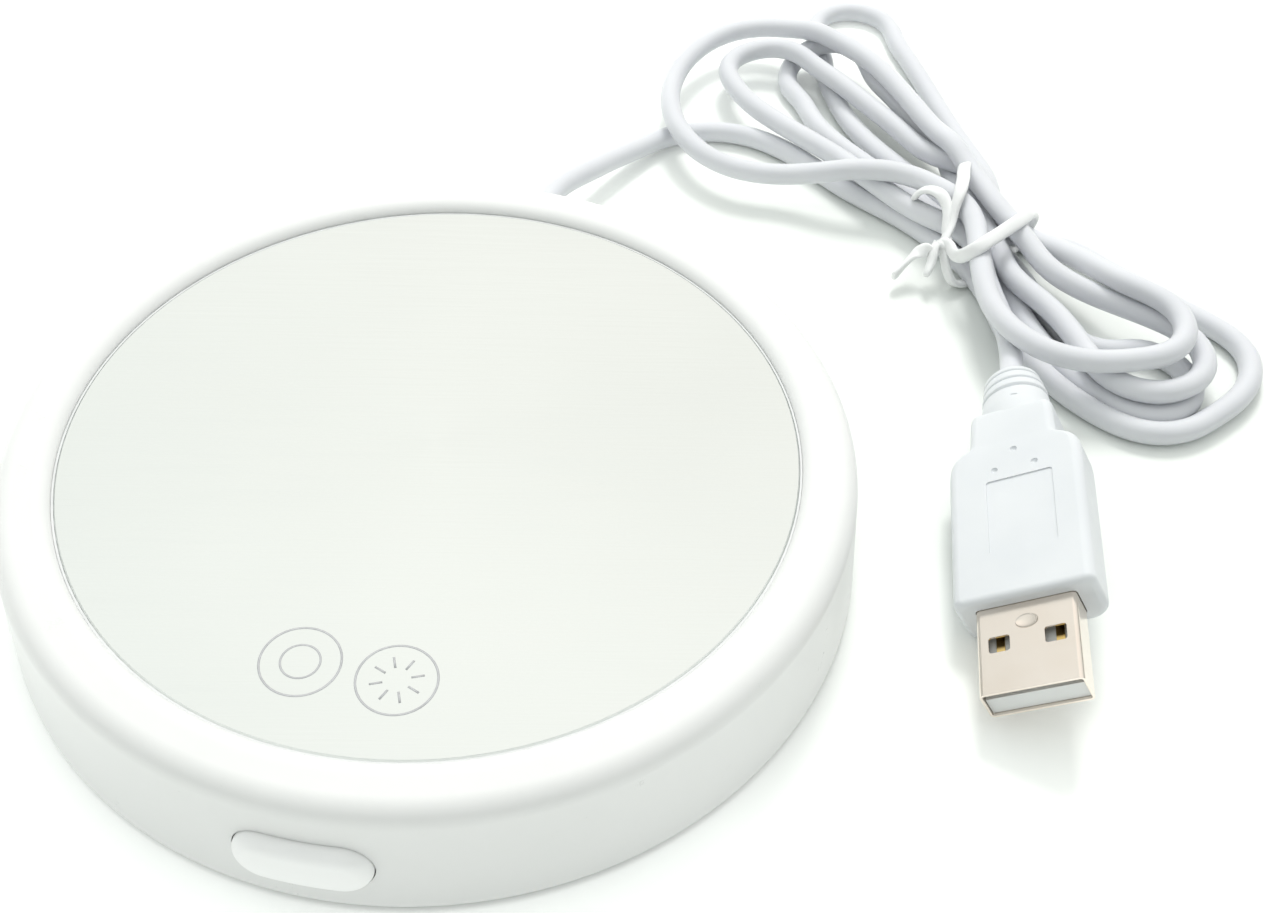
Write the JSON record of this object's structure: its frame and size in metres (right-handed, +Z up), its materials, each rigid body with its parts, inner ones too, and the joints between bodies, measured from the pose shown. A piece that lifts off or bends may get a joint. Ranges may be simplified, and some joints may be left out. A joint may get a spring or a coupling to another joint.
{
  "type": "electric mug warmer",
  "caption": "Round low mug warmer with a recessed metal plate, a push button in the side wall and a thin tied cord with a flat rectangular plug.",
  "frame": {"origin": "centre of the round housing, on the surface it stands on", "axes": "+Z up, out of the warming plate; -Y towards the push button; +Y towards the cord exit"},
  "size_m": [0.161, 0.191, 0.017],
  "materials": {
    "housing_white": "satin moulded",
    "plate_steel": "fine straight brushed",
    "silicone_grey": "matte",
    "film_amber": "smooth",
    "fibre_pad": "felted",
    "zinc_steel": "zinc plated",
    "screw_steel": "zinc plated",
    "ceramic_cream": "glazed",
    "wire_red": "silicone insulation",
    "board_green": "solder mask",
    "switch_black": "moulded",
    "tinned_pin": "tinned",
    "plunger_white": "moulded",
    "spring_steel": "drawn wire",
    "button_white": "satin moulded",
    "clamp_white": "moulded",
    "wire_black": "PVC insulation",
    "foot_rubber": "matte",
    "cord_pvc": "smooth soft PVC jacket",
    "tie_white": "smooth film over wire",
    "plug_pvc": "satin overmoulding",
    "plug_nickel": "nickel plated",
    "tongue_white": "moulded",
    "contact_gold": "gold plated"
  },
  "bodies": {
    "warmer": {"upper_shell": "housing_white", "base_cover": "housing_white", "heating_plate": "plate_steel", "bond_ring": "silicone_grey", "heater_film": "film_amber", "insulation_pad": "fibre_pad", "retaining_plate": "zinc_steel", "retaining_screws": "screw_steel", "thermal_cutoff": "ceramic_cream", "heater_leads": "wire_red", "circuit_board": "board_green", "board_screws": "screw_steel", "switch_body": "switch_black", "switch_pins": "tinned_pin", "return_spring": "spring_steel", "cord_clamp": "clamp_white", "clamp_screws": "screw_steel", "supply_leads": "wire_black", "base_screws": "screw_steel", "rubber_feet": "foot_rubber", "cord_grommet": "cord_pvc", "cord_lead": "cord_pvc", "cord_hank": "cord_pvc", "cord_tail": "cord_pvc", "twist_tie": "tie_white", "plug_grip": "plug_pvc", "plug_shell": "plug_nickel", "plug_tongue": "tongue_white", "plug_contacts": "contact_gold"},
    "button": {"switch_button": "button_white", "switch_plunger": "plunger_white"}
  },
  "joints": [
    {"name": "button_press", "type": "slide", "parent": "warmer", "child": "button", "axis": [0, 1, 0], "range_m": [0, 0.0012], "stiffness_N_per_m": 400, "deforming": ["return_spring"]}
  ]
}
